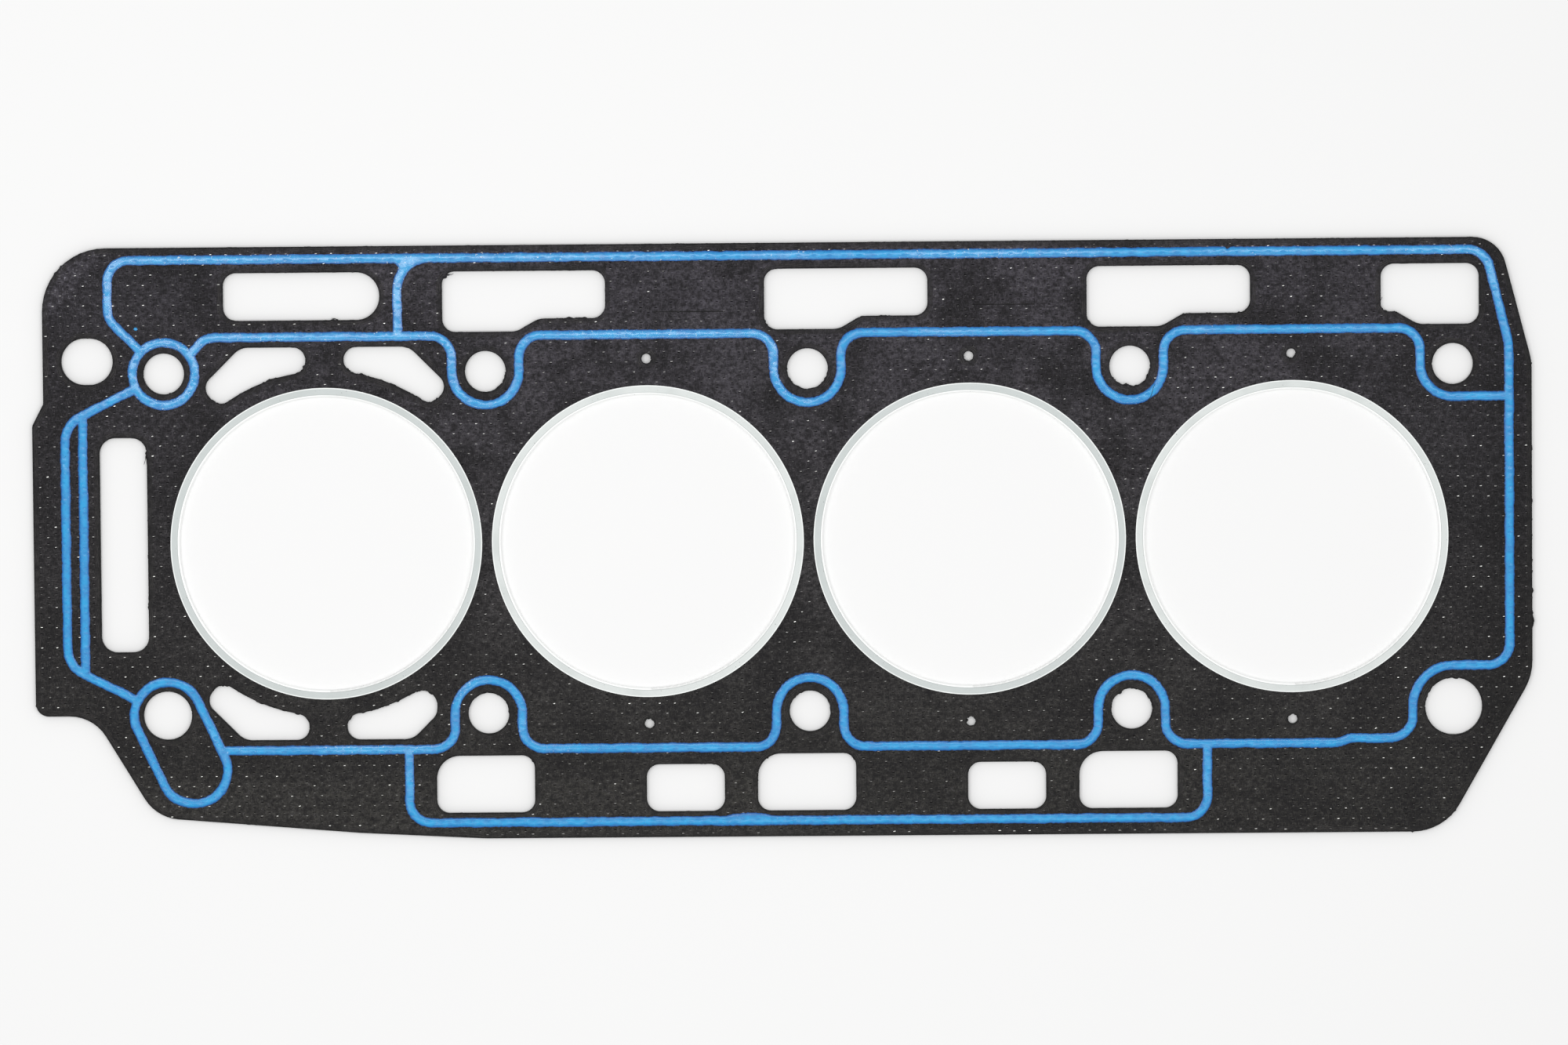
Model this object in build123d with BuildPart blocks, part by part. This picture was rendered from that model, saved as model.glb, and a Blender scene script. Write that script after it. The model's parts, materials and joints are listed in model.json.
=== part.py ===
from build123d import *
import os

# Composition cylinder head gasket for a four-cylinder engine, in millimetres. A steel core sheet lies
# between two soft fibre facings. A thin steel fire ring is folded round each bore edge, and a raised
# sealing bead is printed on both faces. X runs along the bores, Y across the engine and Z up. The origin
# is the middle of the head-bolt pattern, on the lowest plane, where the gasket rests on the flanges of
# its fire rings.

# Bores and head bolts
bore_count = 4
ring_bore = 81.2
bore_land = 7.8
bolt_row_land = 13.5
bolt_hole = 11.3
small_dowel_hole = 13.4
large_dowel_hole = 15.8

# Sheet thicknesses and heights
core_sheet = 0.25
facing_sheet = 0.55
ring_sheet = 0.25
ring_proud = 0.2
bead_height = 0.18

# Fire rings
flange_width = 2.55
fold_radius = 0.6
fold_play = 0.1
flange_play = 0.2

# Outline, from the end bolts and the bolt rows
upper_margin = 34.85
lower_margin = 34.75
left_edge = 33.45
left_bulge = 36.6
step_start = 8.05
step_end = 14.15
heel_x = 20.7
heel_foot_x = 3.5
heel_foot_y = 28.35
sweep_x = 53.0
sweep_y = 32.95
sweep_end_x = 88.0
right_edge = 21.75
right_foot_x = 2.8
right_foot_rise = 8.3
right_shoulder_rise = 0.6
right_shoulder_x = 12.75
upper_left_corner = 17.6
upper_right_corner = 9.5
lower_right_corner = 15.0
heel_corner = 11.8
heel_foot_corner = 12.0
foot_corner = 3.6
step_corner = 2.0
edge_blend = 16.0
sweep_blend = 60.0

# Slots along both long edges, from the bolt rows and the bolts or bores beside them
slot_outer = 27.65
slot_inner = 14.5
slot_deep = 10.95
slot_corner = 3.6
ramp_length = 6.1
ramp_corner = 6.0
stepped_left = 11.8
stepped_ramp = 8.8
stepped_right = 33.3
first_slot_left = 16.6
first_slot_right = 59.9
first_slot_roundness = 0.49
last_slot_left = 19.75
last_slot_ramp = 15.6
last_slot_right = 7.35
last_slot_corner = 2.2
drain_left = 14.6
drain_right = 12.6
drain_inner = 11.75
drain_large_corner = 6.5
vent_left = 0.9
vent_right = 20.7

# Coolant slots round the first bore, from its centre
kidney_land = 4.7
kidney_outer = 7.05
kidney_root = 5.25
kidney_bend = 23.35
kidney_slope = 10.9
kidney_cap_x = 5.3
kidney_cap_y = 6.3
kidney_short_slope = 6.9
kidney_root_corner = 3.6
kidney_bend_corner = 5.5
kidney_tip_corner = 3.5
kidney_short_corner = 4.2

# Holes at the timing end and beside the bores
end_slot_left = 18.1
end_slot_right = 4.95
end_slot_length = 59.4
end_slot_corner = 4.4
oval_length = 14.3
oval_width = 12.8
oval_x = 21.2
oval_y = 3.55
pilot_hole = 2.65
pilot_land = 7.35

# Sealing bead, from the bolts it runs round
bead_width = 2.6
bead_shoulder = 0.1
bead_slope = 0.6
loop_radius = 9.3
first_loop_radius = 8.7
last_loop_radius = 9.0
dowel_loop_radius = 11.35
dowel_loop_x = 7.1
dowel_loop_y = 15.25
run_start_x = 6.25
end_run_start_x = 7.85
lower_start_x = 15.5
flare_radius = 6.0
inner_run = 9.9
upper_run = 31.4
lower_run = 30.35
left_run = 15.35
right_run = 15.5
right_run_top = 5.25
right_run_shoulder = 9.0
run_corner = 6.0
right_run_corner = 6.0
right_run_blend = 8.0
end_run_outer = 27.55
end_run_inner = 22.65
end_run_slope = 0.505
end_run_corner = 8.0
tie_x = 11.7
tie_start_x = 6.7
tie_start_y = 4.6
upper_rib = 24.2
upper_rib_flare = 9.0
rib_web_corner = 1.5
left_rib = 22.2
right_rib = 20.8
jog_x = 57.0
jog_length = 3.4
jog_step = 1.2
jog_corner = 4.0

# Places worked out from the sizes above
bore_pitch = ring_bore + bore_land
bolt_row_spacing = ring_bore + bolt_row_land
bolt_x = [(i - bore_count / 2) * bore_pitch for i in range(bore_count + 1)]
bore_x = [x + bore_pitch / 2 for x in bolt_x[:-1]]
bolt_y = bolt_row_spacing / 2
first_bolt = bolt_x[0]
last_bolt = bolt_x[-1]
inner_bolts = bolt_x[1:-1]
inner_bores = bore_x[1:]
vent_bores = bore_x[1:-1]
upper_edge = bolt_y + upper_margin
lower_edge = -bolt_y - lower_margin
slot_outer_y = bolt_y + slot_outer
slot_inner_y = bolt_y + slot_inner
slot_deep_y = bolt_y + slot_deep
kidney_outer_y = bolt_y + kidney_outer

ring_radius = ring_bore / 2
flange_radius = ring_radius + flange_width
seat_radius = flange_radius + flange_play
core_bore_radius = ring_radius + ring_sheet + fold_play
facing_bore_radius = ring_radius + fold_radius + fold_play
pilot_y = flange_radius + pilot_land
body_height = core_sheet + 2 * facing_sheet
ring_height = body_height + 2 * ring_proud
seat_depth = ring_sheet - ring_proud
body_floor = ring_proud
core_floor = body_floor + facing_sheet
core_top = core_floor + core_sheet
body_top = body_floor + body_height


def closed_shape(points, corners):
    """A face with straight sides and round corners."""
    with BuildSketch() as shape:
        with BuildLine():
            FilletPolyline(*points, radius=corners, close=True)
        make_face()
    return shape.sketch


def outline():
    """The cut edge of every sheet, from the upper left corner round the timing end."""
    points = [
        (first_bolt - left_edge, upper_edge),
        (first_bolt - left_edge, bolt_y - step_start),
        (first_bolt - left_bulge, bolt_y - step_end),
        (first_bolt - left_bulge, -bolt_y),
        (first_bolt - heel_x, -bolt_y),
        (first_bolt - heel_foot_x, -bolt_y - heel_foot_y),
        (first_bolt + sweep_x, -bolt_y - sweep_y),
        (first_bolt + sweep_end_x, lower_edge),
        (last_bolt - right_foot_x, lower_edge),
        (last_bolt + right_edge, -bolt_y + right_foot_rise),
        (last_bolt + right_edge, bolt_y + right_shoulder_rise),
        (last_bolt + right_shoulder_x, upper_edge),
    ]
    corners = [
        upper_left_corner,
        step_corner,
        step_corner,
        foot_corner,
        heel_corner,
        heel_foot_corner,
        sweep_blend,
        sweep_blend,
        lower_right_corner,
        edge_blend,
        edge_blend,
        upper_right_corner,
    ]
    return closed_shape(points, corners)


def first_slot():
    """The slot over the first bore, almost fully round at its right end."""
    round_end = (slot_outer - slot_inner) * first_slot_roundness
    points = [
        (first_bolt + first_slot_left, slot_inner_y),
        (first_bolt + first_slot_right, slot_inner_y),
        (first_bolt + first_slot_right, slot_outer_y),
        (first_bolt + first_slot_left, slot_outer_y),
    ]
    return closed_shape(points, [slot_corner, round_end, round_end, slot_corner])


def stepped_slot(x):
    """A slot beside one inner bolt, deeper on the left of its ramp."""
    points = [
        (x - stepped_left, slot_deep_y),
        (x + stepped_ramp, slot_deep_y),
        (x + stepped_ramp + ramp_length, slot_inner_y),
        (x + stepped_right, slot_inner_y),
        (x + stepped_right, slot_outer_y),
        (x - stepped_left, slot_outer_y),
    ]
    corners = [slot_corner, ramp_corner, ramp_corner, slot_corner, slot_corner, slot_corner]
    return closed_shape(points, corners)


def last_slot():
    """The slot at the far end, with its ramp on the left."""
    ramp_start = last_bolt - last_slot_ramp
    points = [
        (last_bolt - last_slot_left, slot_inner_y),
        (ramp_start, slot_inner_y),
        (ramp_start + ramp_length, slot_deep_y),
        (last_bolt + last_slot_right, slot_deep_y),
        (last_bolt + last_slot_right, slot_outer_y),
        (last_bolt - last_slot_left, slot_outer_y),
    ]
    corners = [last_slot_corner, last_slot_corner, ramp_corner, slot_corner, slot_corner, slot_corner]
    return closed_shape(points, corners)


def drain_slot(x):
    """A slot below one inner bolt, with one large corner."""
    inner = -bolt_y - drain_inner
    points = [
        (x - drain_left, inner),
        (x - drain_left, -slot_outer_y),
        (x + drain_right, -slot_outer_y),
        (x + drain_right, inner),
    ]
    return closed_shape(points, [drain_large_corner, slot_corner, slot_corner, slot_corner])


def vent_slot(x):
    """A smaller slot below one inner bore."""
    points = [
        (x - vent_left, -slot_outer_y),
        (x + vent_right, -slot_outer_y),
        (x + vent_right, -slot_inner_y),
        (x - vent_left, -slot_inner_y),
    ]
    return closed_shape(points, slot_corner)


def end_slot():
    """The long slot across the timing end."""
    points = [
        (first_bolt - end_slot_left, -end_slot_length / 2),
        (first_bolt - end_slot_right, -end_slot_length / 2),
        (first_bolt - end_slot_right, end_slot_length / 2),
        (first_bolt - end_slot_left, end_slot_length / 2),
    ]
    return closed_shape(points, end_slot_corner)


def kidney(tip, tip_corner):
    """A coolant slot that follows the first bore, drawn up and to the right of the bore centre."""
    bend = (kidney_bend, kidney_outer_y)
    with BuildSketch() as shape:
        with BuildLine():
            Polyline((kidney_root, 0), (kidney_root, kidney_outer_y), bend, *tip, close=True)
        make_face()
        Circle(flange_radius + kidney_land, mode=Mode.SUBTRACT)
        fillet(shape.vertices().sort_by(Axis.X)[-2:], tip_corner)
        fillet(shape.vertices().sort_by(Axis.X)[:2], kidney_root_corner)
        fillet(shape.vertices().sort_by_distance(bend)[:1], kidney_bend_corner)
    return shape.sketch


def coolant_slots():
    """Four slots round the first bore, the lower right one with a blunter tip."""
    tip_x = kidney_bend + kidney_slope
    tip_y = kidney_outer_y - kidney_slope
    long_tip = [(tip_x, tip_y), (tip_x - kidney_cap_x, tip_y - kidney_cap_y)]
    short_x = kidney_bend + kidney_short_slope
    short_tip = [(short_x, kidney_outer_y - kidney_short_slope), (short_x, 0)]
    long_slot = kidney(long_tip, kidney_tip_corner)
    short_slot = kidney(short_tip, kidney_short_corner)
    with BuildSketch() as slots:
        with Locations((bore_x[0], 0)):
            add(long_slot)
            add(mirror(long_slot, about=Plane.YZ, mode=Mode.PRIVATE))
            add(long_slot, rotation=180)
            add(mirror(short_slot, about=Plane.XZ, mode=Mode.PRIVATE))
    return slots.sketch


def blank(bore_radius):
    """One sheet of the gasket with every hole cut through it."""
    with BuildSketch() as sheet:
        add(outline())
        add(first_slot(), mode=Mode.SUBTRACT)
        add(last_slot(), mode=Mode.SUBTRACT)
        add(end_slot(), mode=Mode.SUBTRACT)
        add(coolant_slots(), mode=Mode.SUBTRACT)
        for x in inner_bolts:
            add(stepped_slot(x), mode=Mode.SUBTRACT)
            add(drain_slot(x), mode=Mode.SUBTRACT)
        for x in vent_bores:
            add(vent_slot(x), mode=Mode.SUBTRACT)
        with Locations((first_bolt - oval_x, bolt_y + oval_y)):
            SlotOverall(oval_length, oval_width, mode=Mode.SUBTRACT)
        with Locations([(x, 0) for x in bore_x]):
            Circle(bore_radius, mode=Mode.SUBTRACT)
        with Locations([(x, bolt_y) for x in bolt_x] + [(x, -bolt_y) for x in inner_bolts]):
            Circle(bolt_hole / 2, mode=Mode.SUBTRACT)
        with Locations((first_bolt, -bolt_y)):
            Circle(small_dowel_hole / 2, mode=Mode.SUBTRACT)
        with Locations((last_bolt, -bolt_y)):
            Circle(large_dowel_hole / 2, mode=Mode.SUBTRACT)
        with Locations([(x, side * pilot_y) for x in inner_bores for side in (1, -1)]):
            Circle(pilot_hole / 2, mode=Mode.SUBTRACT)
    return sheet.sketch


def strip(points, corners):
    """A stretch of bead along a line with round corners."""
    with BuildSketch() as stretch:
        with BuildLine():
            FilletPolyline(*points, radius=corners)
        trace(line_width=bead_width)
    return stretch.sketch


def straight(start, end):
    """A stretch of bead along one straight line."""
    with BuildSketch() as stretch:
        with BuildLine():
            Line(start, end)
        trace(line_width=bead_width)
    return stretch.sketch


def bolt_arc(centre, radius, start, sweep):
    """A stretch of bead round a bolt hole."""
    with BuildSketch() as stretch:
        with BuildLine():
            CenterArc(centre, radius, start, sweep)
        trace(line_width=bead_width)
    return stretch.sketch


def end_loops():
    """The closed loops round the two bolts of the timing end."""
    middle = (first_bolt + dowel_loop_x / 2, -bolt_y - dowel_loop_y / 2)
    far = (first_bolt + dowel_loop_x, -bolt_y - dowel_loop_y)
    with BuildSketch() as loops:
        with Locations((first_bolt, bolt_y)):
            Circle(first_loop_radius + bead_width / 2)
            Circle(first_loop_radius - bead_width / 2, mode=Mode.SUBTRACT)
        SlotCenterPoint(middle, far, 2 * loop_radius + bead_width)
        SlotCenterPoint(middle, far, 2 * loop_radius - bead_width, mode=Mode.SUBTRACT)
    return loops.sketch


def outer_bead():
    """From the first loop up, along the upper edge and down the far end."""
    points = [
        (first_bolt - run_start_x, bolt_y + run_start_x),
        (first_bolt - left_run, bolt_y + left_run),
        (first_bolt - left_run, bolt_y + upper_run),
        (last_bolt + right_run_shoulder, bolt_y + upper_run),
        (last_bolt + right_run, bolt_y + right_run_top),
        (last_bolt + right_run, -bolt_y + dowel_loop_radius),
        (last_bolt, -bolt_y + dowel_loop_radius),
    ]
    return strip(points, [run_corner, run_corner, right_run_corner, right_run_blend, right_run_corner])


def end_beads():
    """The two parallel runs across the timing end."""
    outer_x = first_bolt - end_run_outer
    outer_y = bolt_y - end_run_slope * end_run_outer
    inner_x = first_bolt - end_run_inner
    inner_y = bolt_y - end_run_slope * end_run_inner
    start_x = first_bolt - end_run_start_x
    start_y = bolt_y - end_run_slope * end_run_start_x
    points = [(start_x, start_y), (outer_x, outer_y), (outer_x, -outer_y), (start_x, -start_y)]
    with BuildSketch() as runs:
        add(strip(points, end_run_corner))
        add(straight((inner_x, inner_y), (inner_x, -inner_y)))
    return runs.sketch


def inner_line(side):
    """The runs and half loops round the inner bolts of one row."""
    run = side * (bolt_y + inner_run)
    row = side * bolt_y
    with BuildSketch() as line:
        for left, right in zip(inner_bolts, inner_bolts[1:]):
            start = left + loop_radius
            end = right - loop_radius
            add(strip([(start, row), (start, run), (end, run), (end, row)], flare_radius))
        for x in inner_bolts:
            add(bolt_arc((x, row), loop_radius, 90 + side * 90, 180))
    return line.sketch


def upper_ends():
    """The two ends of the upper inner line."""
    run = bolt_y + inner_run
    first_loop = inner_bolts[0] - loop_radius
    last_loop = inner_bolts[-1] + loop_radius
    corner_loop = last_bolt - last_loop_radius
    low = bolt_y - last_loop_radius
    near = [
        (first_bolt + tie_start_x, bolt_y + tie_start_y),
        (first_bolt + tie_x, run),
        (first_loop, run),
        (first_loop, bolt_y),
    ]
    far = [(last_loop, bolt_y), (last_loop, run), (corner_loop, run), (corner_loop, bolt_y)]
    with BuildSketch() as ends:
        add(strip(near, flare_radius))
        add(strip(far, flare_radius))
        add(bolt_arc((last_bolt, bolt_y), last_loop_radius, 180, 90))
        add(straight((last_bolt, low), (last_bolt + right_run, low)))
    return ends.sketch


def lower_ends():
    """The two ends of the lower inner line, with the jog before the large dowel."""
    run = -bolt_y - inner_run
    first_loop = inner_bolts[0] - loop_radius
    last_loop = inner_bolts[-1] + loop_radius
    jog = inner_bolts[-1] + jog_x
    dowel_run = last_bolt - dowel_loop_radius
    far = [
        (last_loop, -bolt_y),
        (last_loop, run),
        (jog, run),
        (jog + jog_length, run + jog_step),
        (dowel_run, run + jog_step),
        (dowel_run, -bolt_y),
    ]
    near_start = first_bolt + lower_start_x
    with BuildSketch() as ends:
        add(strip([(near_start, run), (first_loop, run), (first_loop, -bolt_y)], flare_radius))
        add(strip(far, [flare_radius, jog_corner, jog_corner, right_run_corner]))
        add(bolt_arc((last_bolt, -bolt_y), dowel_loop_radius, 90, 90))
    return ends.sketch


def ribs():
    """The runs that tie the inner lines to the long edges."""
    upper_x = inner_bolts[0] - upper_rib
    upper_y = bolt_y + upper_run
    lower_y = -bolt_y - lower_run
    run = bolt_y + inner_run
    left = inner_bolts[0] - left_rib
    right = inner_bolts[-1] + right_rib
    upper = [(upper_x, run), (upper_x, upper_y), (upper_x + 2 * upper_rib_flare, upper_y)]
    lower = [(left, -run), (left, lower_y), (right, lower_y), (right, -run)]
    with BuildSketch() as runs:
        add(strip(upper, upper_rib_flare))
        add(strip(lower, run_corner))
    return runs.sketch


def bead_pattern():
    """The whole sealing bead, one connected network."""
    with BuildSketch() as pattern:
        add(end_loops())
        add(outer_bead())
        add(end_beads())
        add(inner_line(1))
        add(inner_line(-1))
        add(upper_ends())
        add(lower_ends())
        add(ribs())
        rib_corner = (inner_bolts[0] - upper_rib, bolt_y + upper_run - bead_width / 2)
        fillet(pattern.vertices().sort_by_distance(rib_corner)[:1], rib_web_corner)
    return pattern.sketch


core_blank = blank(core_bore_radius)
facing_blank = blank(facing_bore_radius)
bead_network = bead_pattern()

os.makedirs("parts", exist_ok=True)

# Steel core sheet
with BuildPart() as steel_core:
    with BuildSketch(Plane.XY.offset(core_floor)):
        add(core_blank)
    extrude(amount=core_sheet)
steel_core.part.label = "steel_core"
export_step(steel_core.part, "parts/steel_core.step")

# Soft facings, each with four shallow seats that the ring flanges are pressed into
with BuildPart() as facing_bottom:
    with BuildSketch(Plane.XY.offset(body_floor)):
        add(facing_blank)
    extrude(amount=facing_sheet)
    with BuildSketch(Plane.XY.offset(body_floor)):
        with Locations([(x, 0) for x in bore_x]):
            Circle(seat_radius)
    extrude(amount=seat_depth, mode=Mode.SUBTRACT)
facing_bottom.part.label = "facing_bottom"
export_step(facing_bottom.part, "parts/facing_bottom.step")

with BuildPart() as facing_top:
    with BuildSketch(Plane.XY.offset(core_top)):
        add(facing_blank)
    extrude(amount=facing_sheet)
    with BuildSketch(Plane.XY.offset(body_top)):
        with Locations([(x, 0) for x in bore_x]):
            Circle(seat_radius)
    extrude(amount=-seat_depth, mode=Mode.SUBTRACT)
facing_top.part.label = "facing_top"
export_step(facing_top.part, "parts/facing_top.step")

# Fire rings, each one strip folded round the bore edge of all three sheets
half_sheet = ring_sheet / 2
for number, x in enumerate(bore_x, start=1):
    with BuildPart() as fire_ring:
        with BuildSketch(Plane.XZ):
            with BuildLine():
                FilletPolyline(
                    (x + flange_radius, ring_height - half_sheet),
                    (x + ring_radius + half_sheet, ring_height - half_sheet),
                    (x + ring_radius + half_sheet, half_sheet),
                    (x + flange_radius, half_sheet),
                    radius=fold_radius - half_sheet,
                )
            trace(line_width=ring_sheet)
        revolve(axis=Axis((x, 0, 0), (0, 0, 1)))
    fire_ring.part.label = f"fire_ring_{number}"
    export_step(fire_ring.part, f"parts/fire_ring_{number}.step")

# Sealing beads, printed on both faces, with sloped shoulders
with BuildPart() as bead_top:
    with BuildSketch(Plane.XY.offset(body_top)):
        add(bead_network)
    extrude(amount=bead_height)
    crown = bead_top.faces().sort_by(Axis.Z)[-1]
    chamfer(crown.edges(), length=bead_slope, length2=bead_shoulder, reference=crown)
bead_top.part.label = "bead_top"
export_step(bead_top.part, "parts/bead_top.step")

with BuildPart() as bead_bottom:
    with BuildSketch(Plane.XY.offset(body_floor)):
        add(bead_network)
    extrude(amount=-bead_height)
    crown = bead_bottom.faces().sort_by(Axis.Z)[0]
    chamfer(crown.edges(), length=bead_slope, length2=bead_shoulder, reference=crown)
bead_bottom.part.label = "bead_bottom"
export_step(bead_bottom.part, "parts/bead_bottom.step")
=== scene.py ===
import json
import math

import bmesh
import bpy
from mathutils import Matrix, Vector, noise
from mathutils.bvhtree import BVHTree


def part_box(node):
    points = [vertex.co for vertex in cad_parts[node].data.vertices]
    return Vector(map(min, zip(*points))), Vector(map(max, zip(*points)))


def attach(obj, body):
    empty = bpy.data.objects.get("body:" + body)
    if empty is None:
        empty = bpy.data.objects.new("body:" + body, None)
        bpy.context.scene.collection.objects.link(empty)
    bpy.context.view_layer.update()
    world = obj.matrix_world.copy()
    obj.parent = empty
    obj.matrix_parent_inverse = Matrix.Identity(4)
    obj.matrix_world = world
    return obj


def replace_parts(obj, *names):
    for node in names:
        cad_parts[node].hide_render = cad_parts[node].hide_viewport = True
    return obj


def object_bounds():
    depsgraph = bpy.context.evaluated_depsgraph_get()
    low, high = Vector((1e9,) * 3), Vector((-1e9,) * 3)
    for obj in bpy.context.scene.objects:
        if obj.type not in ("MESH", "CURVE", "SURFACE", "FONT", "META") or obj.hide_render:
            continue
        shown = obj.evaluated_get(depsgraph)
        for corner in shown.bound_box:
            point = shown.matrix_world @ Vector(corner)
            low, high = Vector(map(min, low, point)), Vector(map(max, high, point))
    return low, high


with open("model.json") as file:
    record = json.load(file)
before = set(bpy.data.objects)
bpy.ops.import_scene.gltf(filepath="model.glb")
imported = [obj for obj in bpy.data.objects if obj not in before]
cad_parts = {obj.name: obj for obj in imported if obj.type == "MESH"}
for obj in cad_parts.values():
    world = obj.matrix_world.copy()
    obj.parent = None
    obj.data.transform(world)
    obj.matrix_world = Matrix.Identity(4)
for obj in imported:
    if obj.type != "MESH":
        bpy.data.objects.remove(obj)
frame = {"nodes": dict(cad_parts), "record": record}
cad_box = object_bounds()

# Noise. Blender starts it from the clock, so it gets a fixed start here
noise_start = 12
noise.seed_set(noise_start)
seed_slant = 0.37

# Sizes, in metres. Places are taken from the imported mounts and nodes
mm = 0.001
mounts = {mount["name"]: mount for mount in frame["record"]["mounts"]}
bores = [Vector(mounts[f"cylinder_bore_{number}"]["pos_m"]) for number in range(1, 5)]
pitch = mounts["inner_bolts"]["dims"]["spacing_x_mm"] / 2 * mm
seat_radius = 43.35 * mm
top_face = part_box("facing_top")[1].z
under_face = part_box("facing_bottom")[0].z

# Limits that tell walls, level faces and the seats of the rings apart
wall_lean = 0.3
level_lean = 0.9
flat_enough = 0.9999
seat_margin = 0.3 * mm
seat_wall = 0.1 * mm
face_depth = 0.1 * mm
face_tolerance = 0.01 * mm
bare_tolerance = 0.04 * mm
join_distance = 0.001 * mm
look_height = 5 * mm

# Facing
cut_step = 0.45 * mm
cut_wander = 0.75 * mm
cut_fine = 0.7 * mm
cut_broad = 3 * mm
cut_broad_seed = 9.0
cut_overhang = -0.03 * mm
cut_round = 0.25 * mm
cut_drop = 0.07 * mm
rim_width = 1.45 * mm
rim_inside = 0.8
rim_tolerance = 0.01
rim_follow = 0.7
small_turn = 0.15
small_share = 0.3

# Burrs and nicks of the cut edges, in mm: x, y, reach (below 0 for a nick) and half width
edge_marks = [
    (-96.6, -59.2, -0.45, 0.4),
    (-81.7, -59.4, -0.4, 0.4),
    (-76.4, -69.2, -0.7, 1.0),
    (-131.0, 62.0, 0.5, 0.45),
    (-119.1, 62.5, 0.45, 0.4),
    (88.1, 42.1, 0.5, 0.6),
    (-176.0, -53.8, -0.35, 0.5),
    (51.0, 80.6, -0.35, 0.6),
    (-202.9, 79.3, -0.3, 0.8),
    (-183.0, 25.4, 0.5, 0.7),
    (-100.2, 73.8, 0.4, 0.8),
]
mark_spread = 3

# Torn slivers at the cut edges, in mm: x and y of the root, x and y of the tip, and width
slivers = [
    (-182.7, 26.2, -183.8, 22.2, 0.5),
    (-100.9, 73.6, -97.5, 74.4, 0.8),
    (157.7, 64.3, 158.8, 65.8, 0.35),
    (-14.9, -64.4, -14.5, -66.8, 0.4),
    (-129.6, 61.9, -131.4, 62.5, 0.4),
]
sliver_depth = 0.25 * mm
sliver_point = 0.04 * mm
sliver_flatness = 0.4
sliver_long_edge = 0.8 * mm
sliver_cuts = 6
sliver_curl_size = 0.7 * mm
sliver_seed = 31.0

# Bare pressed pads, in mm: low x and y, high x and y
pads = [(46.15, 64.9, 62.8, 68.95), (-42.7, 63.6, -23.2, 69.3)]
pad_height = 0.11 * mm
pad_edge = 0.12 * mm
pad_sink = 0.01 * mm
# Painted shadow at the pads' foot: how far it reaches out on the -Y side, the height below which it is
# painted, and its mark in the rim attribute
pad_shadow_reach = 0.4 * mm
pad_foot_height = pad_height / 3
pad_shadow_rim = 2.0

# Sealing bead
bead_step = 0.38 * mm
bead_half_width = 1.3 * mm
bead_height = 0.19 * mm
bead_foot = 0.02 * mm
bead_insets = [0.06 * mm, 0.2 * mm, 0.45 * mm, 0.78 * mm, 1.12 * mm]
bead_wander = 0.17 * mm
bead_fine = 0.6 * mm
bead_fine_share = 0.9
bead_fine_seed = 2.0
bead_broad = 3.5 * mm
bead_broad_seed = 3.0
crown_calm = 0.75
bead_ripple = 0.055 * mm
ripple_size = 2.0 * mm
ripple_seed = 5.0
bead_dent = 0.05 * mm
dent_half_length = 0.9 * mm
dent_half_width = 0.5 * mm
dent_place = 0.9 * mm

# Where one edge of the bead bulges or is nicked, in mm: x and y on its middle, half length and width
bead_marks = [(-17.5, -77.7, 5.5, 0.85), (116.1, 78.6, 0.5, -0.5)]
bead_mark_reach = 2 * mm

# A stray drop of silicone, in mm
drop_place = (-185.6, 59.8)
drop_radius = 0.55
drop_shape = (1.0, 0.8, 0.35)
drop_crown = 0.6
drop_wander = 0.1
drop_wander_size = 0.5
drop_seed = 41.0

# A loose hair, in mm
hair_root = (93.4, 37.4)
hair_tip = (96.2, 42.0)
hair_width = 0.22
hair_long_edge = 1.0
hair_cuts = 24
hair_bend = 0.35
hair_turn = 5.0

# Tangs, in staggered rows of holes. Each hole has two prongs, one towards +Y and one towards -Y
tang_pitch = 4.17 * mm
tang_row = 2.78 * mm
prong_gap = 1.95 * mm
tip_length = 0.72 * mm
tip_width = 0.24 * mm
tip_height = 0.06 * mm
tip_reach = 0.6 * mm
tip_clear = 3
tip_taper = (0.75, 0.6, 1.0)
tip_lean_x = 0.5
tip_lean_y = 0.3
tip_turn = 0.3
tip_change = 0.37 * mm
tip_seed = 21.0
batch_size = 800

# How far chance moves a tip along the facing, and a sliver's surface, in mm
tip_stray = 0.15
sliver_curl = 0.22

# Tips: least size or shine and what chance adds, for the prongs towards +Y and towards -Y. Shine sets how
# much glint is painted on a tip
far_growth = (0.75, 0.6)
near_growth = (0.6, 0.4)
near_slimness = 0.7
far_shine = (0.5, 1.0)
near_shine = (0.2, 0.4)
shine_patch = 14 * mm
shine_patch_share = 0.6
shine_patch_seed = 23.0
dull_place = 20 * mm
dull_reach = 150 * mm
dull_share = 0.4

# Radii of the slopes between the tones of a fire ring: its painted highlight on the outer edge, its
# painted reflection on the rolled edge and its painted shade in the crease
ring_outer_edge = (42.8 * mm, 42.95 * mm)
ring_rolled_edge = (41.2 * mm, 41.1 * mm)
ring_crease_inside = (41.05 * mm, 41.2 * mm)
ring_crease_outside = (41.4 * mm, 41.25 * mm)

# Slopes in x or y between the tones of the facing and of the bead: where the facing's painted sheen grows
# and fades, its painted sheen at the upper-left corner, its painted shade at the right end, and where the
# bead's painted highlight is calmed
upper_slope = (-75 * mm, 75 * mm)
sheen_end_right = (200 * mm, 110 * mm)
sheen_end_left = (-235 * mm, -80 * mm)
lower_strip_y = (-60 * mm, -68 * mm)
lower_strip_x = (80 * mm, -20 * mm)
corner_sheen_row = 81 * mm
corner_sheen_slope = (-188 * mm, -200 * mm)
dark_end_slope = (178 * mm, 192 * mm)
calm_bead_x = (-178 * mm, -190 * mm)
calm_bead_y = (48 * mm, 36 * mm)

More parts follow.
